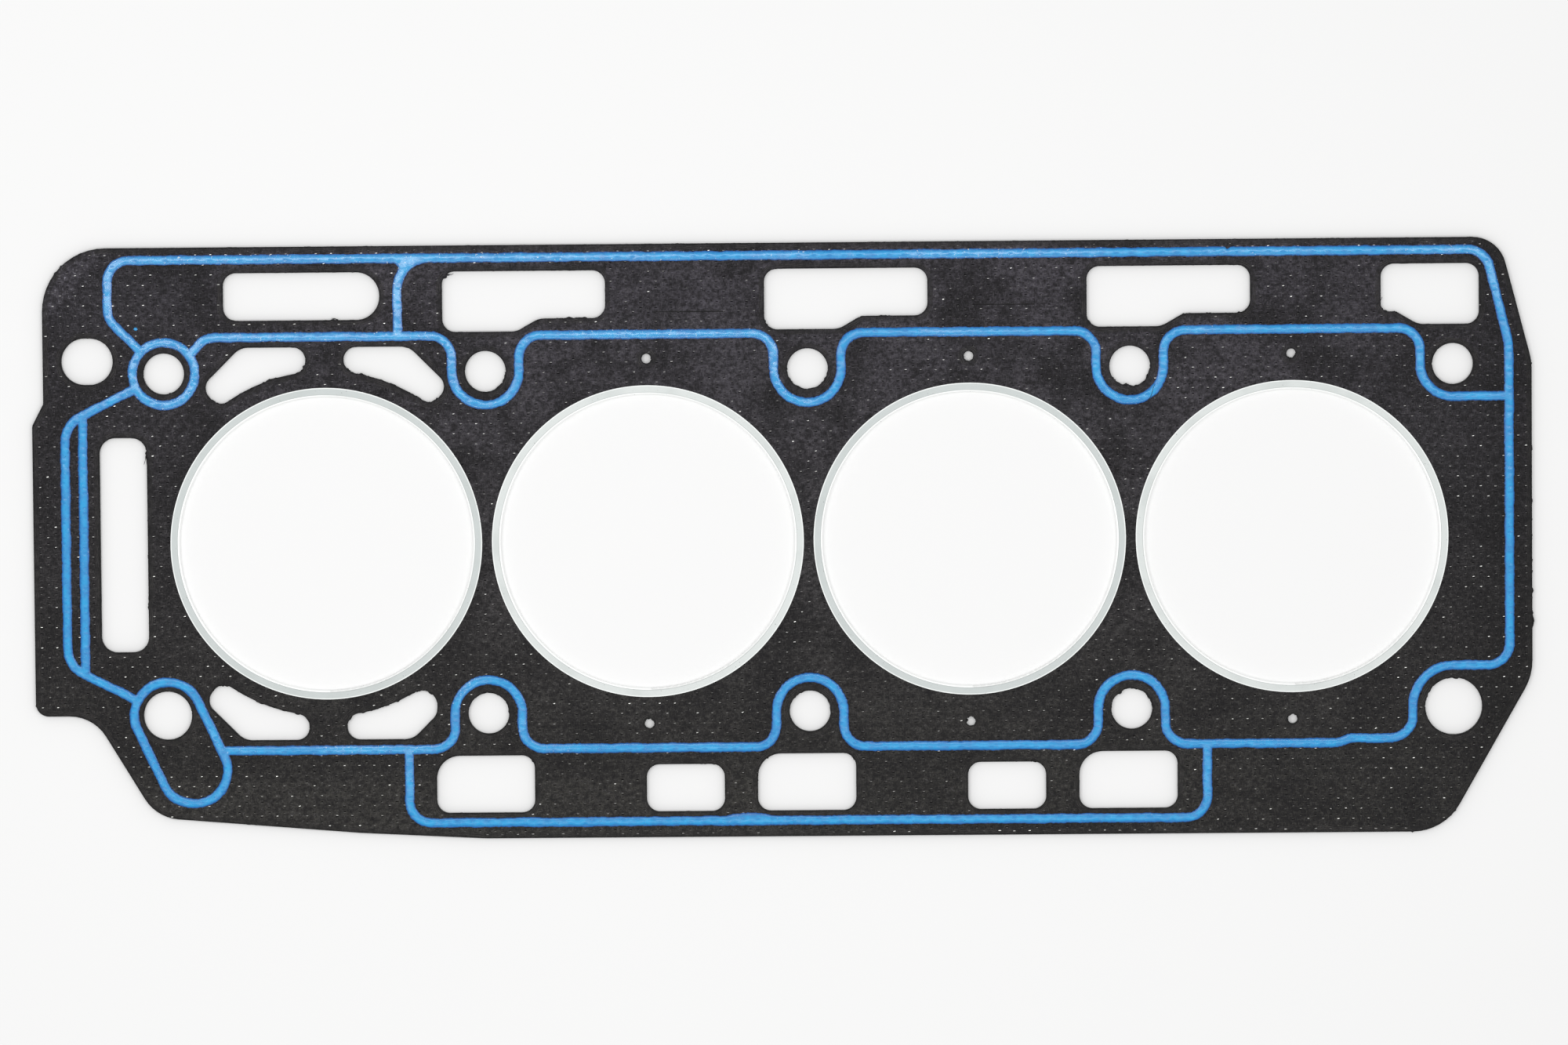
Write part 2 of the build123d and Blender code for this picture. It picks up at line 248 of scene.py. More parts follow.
# Colours of the facing
fibre_black = (0.0165, 0.0158, 0.0168, 1)
fibre_pale_low = (0.066, 0.064, 0.057, 1)
fibre_pale_high = (0.076, 0.071, 0.082, 1)
# Painted sheen: a grey haze, lighter and bluer towards +Y
sheen_low = (0.082, 0.079, 0.071, 1)
sheen_high = (0.108, 0.100, 0.120, 1)
# Painted sheen: pale grey flecks at the upper-left corner
corner_sheen_grey = (0.38, 0.37, 0.42, 1)
hair_grey = (0.12, 0.115, 0.12, 1)
grain_grey = (0.12, 0.115, 0.11, 1)
rim_black = (0.0165, 0.016, 0.016, 1)
thread_grey = (0.085, 0.08, 0.078, 1)
# Cut edges and walls: the black of the cut fibre with painted shade, also used for the painted shadow at
# the pads' foot
cut_shade_black = (0.008, 0.008, 0.008, 1)
# Painted shadow in the pits beside the prongs
pit_shadow_black = (0.002, 0.002, 0.0025, 1)
# Painted shade towards the right end
dark_end_black = (0.010, 0.010, 0.010, 1)

# Colours of the bead
silicone_deep = (0.002, 0.245, 0.60, 1)
silicone_light = (0.004, 0.350, 0.73, 1)
# Painted sheen where the bead glints
silicone_sheen = (0.15, 0.47, 0.80, 1)
# Painted shade on the bead's flanks
silicone_flank_shade = (0.003, 0.17, 0.50, 1)
# Painted highlight along the bead's crest
silicone_crest_highlight = (0.03, 0.46, 0.86, 1)
# Painted shade in the bead's dents
silicone_dent_shade = (0.004, 0.17, 0.52, 1)
silicone_foot = (0.003, 0.085, 0.34, 1)
silicone_speck = (0.008, 0.03, 0.10, 1)
# Painted glints: white flecks
silicone_glint_fleck = (0.72, 0.84, 0.90, 1)

# Colours of the steel
ring_grey = (0.46, 0.49, 0.485, 1)
ring_pale = (0.56, 0.585, 0.575, 1)
ring_mark = (0.62, 0.65, 0.64, 1)
ring_cloud = (0.41, 0.44, 0.43, 1)
# Painted highlight on the rings' outer edge
ring_edge_highlight = (0.72, 0.74, 0.73, 1)
# Painted reflection, near white, on the rolled inner edge
ring_rolled_reflection = (0.93, 0.94, 0.93, 1)
# Painted shade in the crease
ring_crease_shade = (0.33, 0.35, 0.345, 1)
ring_speck = (0.12, 0.12, 0.115, 1)
tip_dull = (0.055, 0.053, 0.052, 1)
tip_grey = (0.30, 0.295, 0.285, 1)
# Painted glint on the tips
tip_glint = (0.88, 0.88, 0.85, 1)
core_dark = (0.09, 0.09, 0.09, 1)
core_grey = (0.22, 0.215, 0.21, 1)

# Camera, from the photograph's frame
view_centre = Vector((-6.8 * mm, 4.9 * mm, top_face))
view_width = 433.1 * mm
view_distance = 1600 * mm
view_lean = Vector((0.01064, 0.0414, 1.0))
view_roll = math.radians(-0.48)
sensor_width = 36.0
near_clip = 0.01

# Floor
floor_half_side = 3.0
floor_drop = 0.03 * mm
floor_white = (0.94, 0.94, 0.938, 1)
floor_glow = 0.03

# Light: name, place, length, width and power of each lamp
sky_level = 0.6
sky_white = (1, 1, 1, 1)
lamps = [
    ("strip_far", (0.0, 0.1, 1.0), 1.1, 0.1, 2.8),
    ("strip_near", (0.0, -0.19, 1.0), 1.1, 0.1, 1.6),
    ("spot", (-0.42, 0.24, 0.9), 0.1, 0.1, 0.7),
]


def wander(point, size, seed=0.0):
    """A smooth random step for this place, the same on every run."""
    return noise.noise_vector(point / size + Vector((seed, seed * seed_slant, -seed)))


def finished(mesh, name, material, smooth=False):
    """Turns a bmesh into a piece that rides on the gasket."""
    data = bpy.data.meshes.new(name)
    for face in mesh.faces:
        face.smooth = smooth
    mesh.to_mesh(data)
    mesh.free()
    data.materials.append(material)
    piece = bpy.data.objects.new(name, data)
    bpy.context.scene.collection.objects.link(piece)
    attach(piece, "root")
    return piece


def merged_copy(node):
    """A bmesh of a CAD node with its loose triangles joined."""
    mesh = bmesh.new()
    mesh.from_mesh(frame["nodes"][node].data)
    bmesh.ops.remove_doubles(mesh, verts=mesh.verts, dist=join_distance)
    return mesh


def divide(mesh, edges, step):
    """Cuts every edge into pieces no longer than step."""
    by_cuts = {}
    for edge in edges:
        cuts = math.ceil(edge.calc_length() / step) - 1
        if cuts > 0:
            by_cuts.setdefault(cuts, []).append(edge)
    for cuts, members in sorted(by_cuts.items()):
        bmesh.ops.subdivide_edges(mesh, edges=members, cuts=cuts)


def lies_flat(edge):
    """True if the two faces at this edge lie in one plane."""
    if len(edge.link_faces) != 2:
        return False
    first, second = edge.link_faces
    return first.normal.dot(second.normal) > flat_enough


def even_out(mesh):
    """Swaps the diagonals of flat runs of triangles for shorter ones."""
    bmesh.ops.triangulate(mesh, faces=mesh.faces)
    mesh.normal_update()
    flat = [edge for edge in mesh.edges if lies_flat(edge)]
    bmesh.ops.beautify_fill(mesh, faces=mesh.faces, edges=flat)


def near_ring(point, margin):
    """True if the point lies in one of the seats of the fire rings."""
    return any((point.xy - bore.xy).length < seat_radius + margin for bore in bores)


def tang_offset(place):
    """The step from this place to the middle of the nearest hole of the tangs."""
    row = math.floor(place.y / tang_row)
    shift = 0.5 - 0.5 * (row % 2)
    column = round(place.x / tang_pitch - shift)
    return Vector(((column + shift) * tang_pitch - place.x, (row + 0.5) * tang_row - place.y, 0))


def tang_places(low, high):
    """The middles of the holes that the tangs are bent from."""
    for row in range(math.floor(low.y / tang_row), math.ceil(high.y / tang_row)):
        shift = 0.5 - 0.5 * (row % 2)
        for column in range(math.floor(low.x / tang_pitch), math.ceil(high.x / tang_pitch)):
            yield Vector(((column + shift) * tang_pitch, (row + 0.5) * tang_row, 0))


class Wire:
    """A socket of a material's nodes. Arithmetic on wires adds Math nodes."""

    def __init__(self, tree, socket=None):
        self.tree = tree
        self.socket = socket

    def node(self, kind, sockets, output=0, **settings):
        """A new node with its settings, its sockets set or linked, as a wire from one output."""
        made = self.tree.nodes.new("ShaderNode" + kind)
        for name, value in settings.items():
            setattr(made, name, value)
        for name, value in sockets.items():
            if isinstance(value, Wire):
                self.tree.links.new(value.socket, made.inputs[name])
            else:
                made.inputs[name].default_value = value
        return Wire(self.tree, made.outputs[output])

    def maths(self, operation, *terms):
        return self.node("Math", dict(enumerate(terms)), operation=operation)

    def __add__(self, other):
        return self.maths("ADD", self, other)

    def __radd__(self, other):
        return self.maths("ADD", other, self)

    def __sub__(self, other):
        return self.maths("SUBTRACT", self, other)

    def __rsub__(self, other):
        return self.maths("SUBTRACT", other, self)

    def __mul__(self, other):
        return self.maths("MULTIPLY", self, other)

    def __rmul__(self, other):
        return self.maths("MULTIPLY", other, self)

    def __truediv__(self, other):
        return self.maths("DIVIDE", self, other)

    def __pow__(self, other):
        return self.maths("POWER", self, other)

    def step(self, low, high):
        """0 below low and 1 above high, with a smooth slope between. low may be the higher one."""
        sockets = {"Value": self, "From Min": low, "From Max": high}
        return self.node("MapRange", sockets, interpolation_type="SMOOTHSTEP")

    def mix(self, first, second):
        """The first colour where this wire is 0 and the second where it is 1."""
        return self.node("Mix", {0: self, 6: first, 7: second}, output=2, data_type="RGBA")

    def fine(self, size, detail=2.0, roughness=0.5, seed=0.0):
        """A noise of this wire's place, in grains of a size."""
        place = self.node("VectorMath", {0: self, 1: (seed, seed, seed)}, operation="ADD")
        sockets = {"Vector": place, "Scale": 1 / size, "Detail": detail, "Roughness": roughness}
        return self.node("TexNoise", sockets)

    def stretched(self, scale):
        """This wire's place, scaled."""
        return self.node("Mapping", {"Vector": self, "Scale": scale})


def finish(name, constants):
    """A new material with its plain values set, as (material, shader, wire to start nodes from)."""
    material = bpy.data.materials.new(name)
    material.use_nodes = True
    shader = material.node_tree.nodes["Principled BSDF"]
    for socket, value in constants.items():
        shader.inputs[socket].default_value = value
    return material, shader, Wire(material.node_tree)


def feed(shader, **wires):
    """Links wires to the shader's sockets, named with underscores for spaces."""
    for name, wire in wires.items():
        wire.tree.links.new(wire.socket, shader.inputs[name.replace("_", " ")])


def attribute(start, name):
    """The values that the vertices of a piece hold under this name."""
    return start.node("Attribute", {}, output="Fac", attribute_name=name, attribute_type="GEOMETRY")


def woven(place, size):
    """Short soft streaks that cross each other."""
    warp = place.stretched((1.0, 0.24, 1.0)).fine(size, detail=2, roughness=0.6)
    weft = place.stretched((0.24, 1.0, 1.0)).fine(size, detail=2, roughness=0.6, seed=3.0)
    return warp.maths("MAXIMUM", warp, weft)


def hairs(place, size, width, seed):
    """1 on thin curly lines and 0 between them."""
    line = place.fine(size, detail=1, roughness=0.4, seed=seed) - 0.5
    return line.maths("ABSOLUTE", line).step(width, width * 0.3)


def tang_dents(x, y, length, width, reach):
    """1 in the dents beside the prongs and 0 away from them, for dents of this size and reach."""
    row = y / tang_row
    row = row.maths("FLOOR", row) * 0.5
    across = x / tang_pitch + row.maths("FRACT", row)
    across = (across.maths("FRACT", across) - 0.5) * (tang_pitch / length)
    along = y / tang_row
    along = (along.maths("FRACT", along) - 0.5) * tang_row
    along = (along.maths("ABSOLUTE", along) - reach * prong_gap) / width
    return (across * across + along * along).step(1.4, 0.3)


def facing_fibre():
    """Black fibre sheet: woven fuzz and hairs, painted sheen as a grey haze that is lighter and bluer
    towards +Y, pits beside the prongs with painted shadow in them, threads at the cuts, cut edges and
    walls darkened partly with painted shade, painted shade towards the right end, and the painted shadow
    at the pads' foot.
    """
    material, shader, start = finish("facing_fibre", {"Specular IOR Level": 0.08})
    place = start.node("TexCoord", {}, output="Object")
    x, y = (start.node("SeparateXYZ", {"Vector": place}, output=axis) for axis in range(2))
    rim = attribute(start, "rim")
    drift = place.fine(1.6 * mm, detail=1, seed=13.0) * (0.8 * mm) - 0.4 * mm
    inside = rim.step(0.3, 0.05)
    some = place.fine(2.2 * mm, seed=17.0).step(0.36, 0.56)
    # Pits beside the prongs: a dent in the bump and a painted shadow in the colour
    shaded_pit = tang_dents(x + drift, y + drift * 0.5, 0.46 * mm, 0.17 * mm, 0.38) * inside * some
    # Painted sheen in arcs round the pits
    halo = tang_dents(x + drift, y + drift * 0.5, 1.1 * mm, 0.5 * mm, 0.44) * inside

    # Painted sheen: lighter and bluer towards +Y, fading towards both ends
    upper = y.step(*upper_slope)
    middle = x.step(*sheen_end_right) * x.step(*sheen_end_left)
    sheen_haze = place.fine(18 * mm, detail=4, roughness=0.65).step(0.34, 0.62)
    sheen_haze = sheen_haze * (0.45 + upper * 0.55) * (0.3 + middle * 0.7)
    # The painted sheen also lies along the lower edge on the left
    lower_strip = y.step(*lower_strip_y) * x.step(*lower_strip_x)
    sheen_haze = sheen_haze.maths("MAXIMUM", sheen_haze, lower_strip * 0.6)
    # Painted sheen at the upper-left corner: more haze, and pale grey flecks on the raised fibre
    corner_sheen = (x + x.maths("ABSOLUTE", y - corner_sheen_row) * 0.8).step(*corner_sheen_slope)
    sheen_haze = sheen_haze.maths("MAXIMUM", sheen_haze, corner_sheen)
    cloth = woven(place, 0.26 * mm)
    fuzz = place.fine(1.3 * mm, detail=4, roughness=0.75, seed=2.0)
    grain = place.fine(0.2 * mm, detail=2, roughness=0.6, seed=7.0)
    hair = hairs(place, 0.8 * mm, 0.03, seed=9.0) * fuzz.step(0.45, 0.65)

    wave = place.fine(2.5 * mm, detail=2, seed=4.0)
    contour = rim * 26.0 + wave * 12.0
    contour = contour.maths("SINE", contour).step(-0.2, 1.0) * rim.step(0.02, 0.12) * rim.step(0.8, 0.7)
    thread = contour * place.fine(2.4 * mm, detail=4, roughness=0.65, seed=6.0).step(0.4, 0.62)

    weave = cloth.step(0.47, 0.78) * (0.4 + fuzz.step(0.35, 0.65) * 0.6)
    # Painted sheen: towards +Y the pale weave turns bluer, and the haze turns lighter and bluer
    pale = upper.mix(fibre_pale_low, fibre_pale_high)
    sheen_tone = upper.mix(sheen_low, sheen_high)
    tone = weave.mix(fibre_black, pale)
    # Painted sheen as a grey haze on the raised fibre
    tone = (sheen_haze * fuzz.step(0.3, 0.66) * (0.4 + weave * 0.6)).mix(tone, sheen_tone)
    # Painted sheen: pale grey flecks at the upper-left corner
    tone = (corner_sheen * cloth.step(0.6, 0.72) * fuzz.step(0.5, 0.6)).mix(tone, corner_sheen_grey)
    tone = (hair * (0.25 + sheen_haze * 0.5)).mix(tone, hair_grey)
    # Painted sheen in arcs round the pits
    tone = (halo * sheen_haze * 0.35).mix(tone, sheen_tone)
    tone = (grain.step(0.60, 0.8) * 0.35).mix(tone, grain_grey)
    tone = (rim.step(0.0, 0.3) * 0.5).mix(tone, rim_black)
    tone = (thread * 0.55).mix(tone, thread_grey)
    # Cut edges and walls darker, partly painted shade; where rim is above 1 this is the pads' painted
    # shadow
    tone = (rim.step(0.75, 1.0) * 0.8).mix(tone, cut_shade_black)
    # Painted shadow in the pits beside the prongs
    tone = (shaded_pit * 0.9).mix(tone, pit_shadow_black)
    # Painted shade towards the right end
    tone = (x.step(*dark_end_slope) * 0.3).mix(tone, dark_end_black)
    height = weave * 0.5 + fuzz * 0.25 + grain * 0.25 + hair * 0.3 - shaded_pit * 1.2 + thread * 0.4
    bump = start.node("Bump", {"Strength": 0.55, "Distance": 0.12 * mm, "Height": height})
    rough = 0.9 - rim.step(0.0, 0.4) * 0.2 - fuzz * 0.15
    feed(shader, Base_Color=tone, Roughness=rough, Normal=bump)
    return material


def blue_silicone():
    """Glossy blue silicone, dimpled over the prongs with painted shade in the dents, frosted and painted
    with sheen and white glints towards the upper left, with a painted highlight along the crest, painted
    shade on the flanks, and a dark foot.
    """
    constants = {"Specular IOR Level": 0.25, "Coat Roughness": 0.14, "Coat IOR": 1.5}
    material, shader, start = finish("blue_silicone", constants)
    place = start.node("TexCoord", {}, output="Object")
    x, y = (start.node("SeparateXYZ", {"Vector": place}, output=axis) for axis in range(2))
    crown = attribute(start, "crown")
    cloud = place.fine(3.0 * mm, detail=3, roughness=0.6)
    frost_sheen = place.fine(0.9 * mm, detail=3, roughness=0.65, seed=4.0)
    crumple = place.fine(1.5 * mm, detail=3, roughness=0.65, seed=8.0)
    speck = place.fine(0.42 * mm, detail=1, seed=11.0).step(0.755, 0.79)
    glint_fleck = place.fine(0.7 * mm, detail=3, roughness=0.7, seed=14.0)
    dent = tang_dents(x, y, 0.85 * mm, 0.3 * mm, 0.36)
    # Where the bead glints, towards the upper left and calmed at the left end: painted sheen and white
    # flecks in the colour, and more bump, roughness and coat
    glint_area = (place.fine(30 * mm, detail=2, seed=5.0) + y * 2.2 - x * 1.1).step(0.47, 0.75)
    calm = x.step(*calm_bead_x) * y.step(*calm_bead_y)
    glint_area = glint_area * (1 - calm * 0.9)
    tone = cloud.step(0.3, 0.7).mix(silicone_deep, silicone_light)
    # Painted sheen where the bead glints
    tone = (frost_sheen.step(0.46, 0.7) * (0.02 + glint_area * 0.45)).mix(tone, silicone_sheen)
    # Painted shade on the flanks
    tone = (crown.step(0.65, 0.25) * 0.45).mix(tone, silicone_flank_shade)
    # Painted highlight along the crest
    tone = (crown.step(0.5, 0.86) * crumple.step(0.35, 0.6) * 0.2).mix(tone, silicone_crest_highlight)
    # Painted shade in the dents
    tone = (dent * 0.4).mix(tone, silicone_dent_shade)
    tone = crown.step(0.40, 0.0).mix(tone, silicone_foot)
    tone = (speck * 0.8).mix(tone, silicone_speck)
    # Painted glints as white flecks
    tone = (glint_fleck.step(0.64, 0.70) * (0.1 + glint_area * 0.75)).mix(tone, silicone_glint_fleck)
    height = crumple * 0.9 + frost_sheen * (0.05 + glint_area * 1.2) - dent * 0.35
    bump = start.node("Bump", {"Strength": 0.55, "Distance": 0.22 * mm, "Height": height})
    rough = 0.3 + cloud.step(0.3, 0.7) * 0.14 + glint_area * frost_sheen * 0.15
    coat = 0.34 + glint_area * 0.4
    feed(shader, Base_Color=tone, Roughness=rough, Coat_Weight=coat, Normal=bump)
    return material


def ring_steel():
    """Pale plated sheet with faint marks round the bore, a painted highlight on the outer edge, a painted
    reflection near white on the rolled inner edge, painted shade in the crease and a few dark specks.
    """
    material, shader, start = finish("ring_steel", {"Specular IOR Level": 0.5})
    place = start.node("TexCoord", {}, output="Object")
    x, y = (start.node("SeparateXYZ", {"Vector": place}, output=axis) for axis in range(2))
    across = x / pitch
    from_bore = (across.maths("FRACT", across) - 0.5) * pitch
    radius = (from_bore * from_bore + y * y) ** 0.5
    number = across.maths("FLOOR", across) * 0.5
    pale = number.maths("FRACT", number) * 2.0
    turn = y.maths("ARCTAN2", y, from_bore) * (20 * mm)
    around = start.node("CombineXYZ", {0: radius * 12.0, 1: turn, 2: 0.0})
    marks = around.fine(1.2 * mm, detail=3, roughness=0.6)
    cloud = place.fine(9 * mm, detail=3)
    speck = place.fine(0.4 * mm, detail=1, seed=3.0).step(0.755, 0.785)
    tone = pale.mix(ring_grey, ring_pale)
    tone = (marks.step(0.35, 0.7) * 0.3).mix(tone, ring_mark)
    tone = (cloud.step(0.45, 0.7) * 0.3).mix(tone, ring_cloud)
    # Painted highlight on the outer edge
    tone = radius.step(*ring_outer_edge).mix(tone, ring_edge_highlight)
    # Painted reflection on the rolled inner edge
    tone = radius.step(*ring_rolled_edge).mix(tone, ring_rolled_reflection)
    # Painted shade in the crease between the flange and the rolled edge
    crease_shade = radius.step(*ring_crease_inside) * radius.step(*ring_crease_outside)
    tone = (crease_shade * 0.45).mix(tone, ring_crease_shade)
    tone = (speck * 0.75).mix(tone, ring_speck)
    rough = 0.5 + marks * 0.16
    bump = start.node("Bump", {"Strength": 0.15, "Distance": 0.05 * mm, "Height": marks})
    metal = 0.55 - speck * 0.4
    feed(shader, Base_Color=tone, Roughness=rough, Metallic=metal, Normal=bump)
    return material


def tang_steel():
    """Steel prong tips: some with a painted glint, near white, and most dulled by the fibre round them.
    """
    material, shader, start = finish("tang_steel", {"Specular IOR Level": 0.3})
    place = start.node("TexCoord", {}, output="Object")
    shine = attribute(start, "shine")
    grain = place.fine(0.15 * mm, detail=1, seed=33.0)
    tone = shine.step(0.0, 0.6).mix(tip_dull, tip_grey)
    # Painted glint on the tips with the most shine
    tone = (shine.step(0.6, 1.0) * grain.step(0.2, 0.5)).mix(tone, tip_glint)
    rough = 0.35 + grain * 0.2
    metal = 0.2 + shine * 0.5
    feed(shader, Base_Color=tone, Roughness=rough, Metallic=metal)
    return material


def core_steel():
    """Bare cold-rolled sheet, darkened where it shows at the cuts."""
    material, shader, start = finish("core_steel", {"Specular IOR Level": 0.5})
    place = start.node("TexCoord", {}, output="Object")
    streak = place.stretched((0.2, 1.0, 1.0)).fine(0.6 * mm, detail=3)
    tone = streak.step(0.3, 0.7).mix(core_dark, core_grey)
    rough = 0.4 + streak * 0.2
    metal = 0.5 + streak * 0.3
    feed(shader, Base_Color=tone, Roughness=rough, Metallic=metal)
    return material


def mark_reach(place):
    """How far the burrs and nicks near this place push the cut edge out."""
    reach = 0.0
    for x, y, push, half_width in edge_marks:
        apart = math.hypot(place.x / mm - x, place.y / mm - y) / half_width
        if apart < mark_spread:
            reach += push * mm * math.exp(-(apart**2))
    return reach


def cut_edge(edge):
    """True if a level face meets a cut wall at this edge, away from the rings."""
    if len(edge.link_faces) != 2:
        return False
    lean = sorted(abs(face.normal.z) for face in edge.link_faces)
    middle = (edge.verts[0].co + edge.verts[1].co) / 2
    return lean[0] < wall_lean and lean[1] > level_lean and not near_ring(middle, seat_margin)


def pressed_face(face, side, outer):
    """True if this face is on the outer side of a facing, or is the wall of a ring's seat."""
    middle = face.calc_center_median()
    if face.normal.z * side > level_lean:
        return (middle.z - outer) * side > -face_depth
    in_seat_wall = near_ring(middle, seat_wall) and not near_ring(middle, -seat_margin)
    return abs(face.normal.z) < wall_lean and in_seat_wall


def facing_sheet(node, side, material):
    """A facing with ragged cut edges and a pressed rim along them."""
    mesh = merged_copy(node)
    rim = mesh.verts.layers.float.new("rim")
    divide(mesh, [edge for edge in mesh.edges if cut_edge(edge)], cut_step)
    even_out(mesh)
    mesh.normal_update()
    cut = dict.fromkeys(vertex for edge in mesh.edges if cut_edge(edge) for vertex in edge.verts)
    outward = {vertex: Vector((vertex.normal.x, vertex.normal.y, 0)).normalized() for vertex in cut}
    neighbours = {
        vertex: [edge.other_vert(vertex) for edge in vertex.link_edges if edge.other_vert(vertex) in cut]
        for vertex in cut
    }
    outer = top_face if side > 0 else under_face
    face_up = [face for face in mesh.faces if pressed_face(face, side, outer)]
    for vertex in cut:
        vertex[rim] = 1.0
    for width, value in ((cut_round, rim_inside), (rim_width, 0.0)):
        bmesh.ops.inset_region(mesh, faces=face_up, thickness=width, use_even_offset=True)
        for face in face_up:
            for vertex in face.verts:
                vertex[rim] = value
    for vertex, out in outward.items():
        turns = [out.angle(outward[near]) for near in neighbours[vertex]]
        calm = small_share if max(turns) > small_turn else 1.0
        fine_step = wander(vertex.co, cut_fine)
        broad_step = wander(vertex.co, cut_broad, cut_broad_seed)
        ragged = (fine_step.x + broad_step.x) / 2
        step = out * (cut_overhang + ragged * calm * cut_wander + mark_reach(vertex.co))
        vertex.co += step
        for edge in vertex.link_edges:
            inner = edge.other_vert(vertex)
            if abs(inner[rim] - rim_inside) < rim_tolerance:
                inner.co += step * rim_follow
        if abs(vertex.co.z - outer) < face_tolerance:
            vertex.co.z -= side * cut_drop * (1 + ragged)
    piece = finished(mesh, node + "_sheet", material)
    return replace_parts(piece, node)


def bead_run(node, side, material):
    """The sealing bead as a low dome with a wandering edge."""
    mesh = merged_copy(node)
    others = [face for face in mesh.faces if face.normal.z * side > -level_lean]
    bmesh.ops.delete(mesh, geom=others, context="FACES")
    bmesh.ops.reverse_faces(mesh, faces=mesh.faces)
    divide(mesh, [edge for edge in mesh.edges if edge.is_boundary], bead_step)
    even_out(mesh)
    crown = mesh.verts.layers.float.new("crown")
    foot = list(mesh.faces)
    raised = bmesh.ops.extrude_face_region(mesh, geom=foot, use_keep_orig=True)["geom"]
    region = [item for item in raised if isinstance(item, bmesh.types.BMFace)]
    bmesh.ops.reverse_faces(mesh, faces=foot)
    lifted = list(dict.fromkeys(vertex for face in region for vertex in face.verts))
    bmesh.ops.translate(mesh, verts=lifted, vec=(0, 0, side * bead_foot))
    done = 0.0
    risen = bead_foot
    for reach in bead_insets:
        off_centre = 1 - reach / bead_half_width
        height = bead_height * math.sqrt(1 - off_centre**2)
        bmesh.ops.inset_region(mesh, faces=region, thickness=reach - done, depth=height - risen)
        for face in region:
            for vertex in face.verts:
                vertex[crown] = 1 - off_centre
        done = reach
        risen = height
    for vertex in mesh.verts:
        edge_share = 1 - crown_calm * vertex[crown]
        fine_step = wander(vertex.co, bead_fine, bead_fine_seed)
        step = fine_step * bead_fine_share + wander(vertex.co, bead_broad, bead_broad_seed)
        off_hole = tang_offset(vertex.co)
        off_x = off_hole.x / dent_half_length
        off_y = (abs(off_hole.y) - dent_place) / dent_half_width
        dent = math.exp(-(off_x**2) - off_y**2)
        lift = wander(vertex.co, ripple_size, ripple_seed).z * bead_ripple - dent * bead_dent
        vertex.co.x += step.x * bead_wander * edge_share
        vertex.co.y += step.y * bead_wander * edge_share
        vertex.co.z += side * lift * vertex[crown]
        for x, y, half_length, width in bead_marks if side > 0 else []:
            spread = math.exp(-(((vertex.co.x / mm - x) / half_length) ** 4))
            off_middle = vertex.co.y - y * mm
            if 0 < off_middle < bead_mark_reach:
                vertex.co.y += spread * width * mm * off_middle / bead_half_width
    piece = finished(mesh, node + "_dome", material, smooth=True)
    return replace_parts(piece, node)


def new_batch():
    """An empty bmesh for a few tips, with the layer for their shine."""
    batch = bmesh.new()
    batch.verts.layers.float.new("shine")
    return batch


def pour(batch, mesh):
    """Adds a small bmesh to a large one."""
    data = bpy.data.meshes.new("batch")
    batch.to_mesh(data)
    batch.free()
    mesh.from_mesh(data)
    bpy.data.meshes.remove(data)


def tang_tips(name, side, facing, bead, material):
    """The clinched tips of the tangs, where they come through the facing."""
    sheet = BVHTree.FromObject(facing, bpy.context.evaluated_depsgraph_get())
    dome = BVHTree.FromObject(bead, bpy.context.evaluated_depsgraph_get())
    outer = top_face if side > 0 else under_face
    down = Vector((0, 0, -side))

    def open_facing(place):
        """True if the facing is there at this place and the bead doesn't cover it."""
        start = Vector((place.x, place.y, outer + side * look_height))
        hit = sheet.ray_cast(start, down)[0]
        on_sheet = hit is not None and abs(hit.z - outer) < bare_tolerance
        return on_sheet and dome.ray_cast(start, down)[0] is None

    mesh = bmesh.new()
    batch = new_batch()
    low, high = (Vector(corner) for corner in cad_box)
    around = [Vector((tip_reach * i, tip_reach * j, 0)) for i, j in ((1, 0), (-1, 0), (0, 1), (0, -1))]
    for middle in tang_places(low, high):
        for end in (1, -1):
            place = middle + Vector((0, end * prong_gap / 2, 0))
            if near_ring(place, tip_reach) or not open_facing(place):
                continue
            clear = sum(open_facing(place + step) for step in around)
            chance = wander(place, tip_change, tip_seed)
            if clear < tip_clear or (end < 0 and clear < len(around) and chance.x > 0):
                continue
            if end > 0:
                dullness = max(0.0, 1 - abs(place.x - dull_place) / dull_reach)
                patch = wander(place, shine_patch, shine_patch_seed).x * shine_patch_share
                shine = far_shine[0] + far_shine[1] * chance.z + (patch - dullness * dull_share)
                grow = far_growth[0] + far_growth[1] * abs(chance.x)
                slim = 1.0
            else:
                shine = near_shine[0] + near_shine[1] * chance.z
                grow = near_growth[0] + near_growth[1] * abs(chance.y)
                slim = near_slimness
            lean_x = Matrix.Rotation(chance.y * tip_lean_x, 4, "X")
            lean_y = Matrix.Rotation(chance.x * tip_lean_y, 4, "Y")
            turn = Matrix.Rotation(chance.z * tip_turn, 4, "Z")
            spot = place + Vector((chance.z, chance.x, 0)) * tip_stray * mm
            spot.z = outer
            size = Matrix.Diagonal((tip_length * grow, tip_width * slim * grow, tip_height, 1))
            matrix = Matrix.Translation(spot) @ turn @ (lean_x @ lean_y) @ size
            made = bmesh.ops.create_cube(batch, size=1.0, matrix=matrix)["verts"]
            top = [vertex for vertex in made if (vertex.co.z - outer) * side > 0]
            bmesh.ops.scale(batch, verts=top, vec=tip_taper, space=Matrix.Translation(-spot))
            for vertex in made:
                vertex[batch.verts.layers.float["shine"]] = max(0.0, min(1.0, shine))
            if len(batch.verts) > batch_size:
                pour(batch, mesh)
                batch = new_batch()
    pour(batch, mesh)
    return finished(mesh, name, material)


